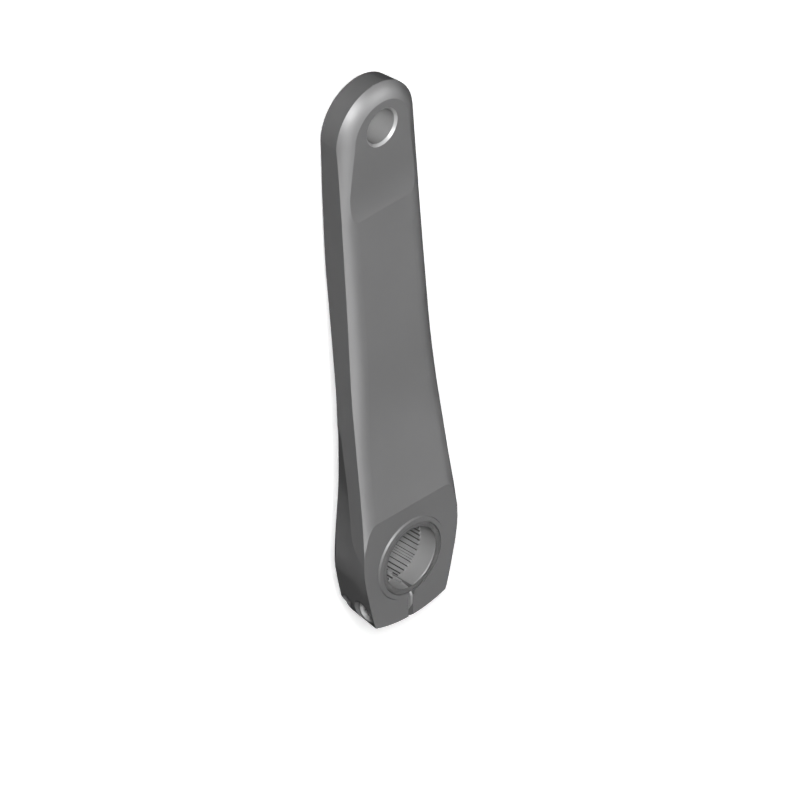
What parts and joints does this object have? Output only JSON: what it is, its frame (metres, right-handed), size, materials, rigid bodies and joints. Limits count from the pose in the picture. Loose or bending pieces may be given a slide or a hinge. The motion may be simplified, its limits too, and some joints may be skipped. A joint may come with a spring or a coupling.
{
  "type": "bicycle crank arm",
  "caption": "Forged left bicycle crank arm with a splined, split clamp boss, cross bolts with washers, a swinging stopper plate in the slit, a seal ring and a threaded pedal end.",
  "frame": {"origin": "on the spindle axis, at the face of the raised ring round the spindle bore", "axes": "+X along the arm from the spindle axis to the pedal axis, +Y across the arm towards the inner clamp bolt's head, +Z along the spindle bore towards the bicycle frame"},
  "size_m": [0.2117, 0.0444, 0.0282],
  "materials": {
    "anodised_arm": "forged aluminium, satin dark grey anodised",
    "bolt_steel": "turned alloy steel, satin grey plating",
    "washer_steel": "stamped steel washer, satin grey plating",
    "plate_steel": "stamped steel sheet, satin grey",
    "seal_rubber": "moulded rubber, matt dark grey"
  },
  "bodies": {
    "arm": {"arm": "anodised_arm", "bolt_in": "bolt_steel", "bolt_out": "bolt_steel", "washer_in": "washer_steel", "washer_out": "washer_steel", "seal": "seal_rubber"},
    "stopper": {"stopper": "plate_steel"}
  },
  "joints": [
    {"name": "stopper_swing", "type": "hinge", "parent": "arm", "child": "stopper", "pos_m": [-0.0179, 0, -0.0066], "axis": [0, 1, 0], "range_deg": [0, 20]}
  ]
}
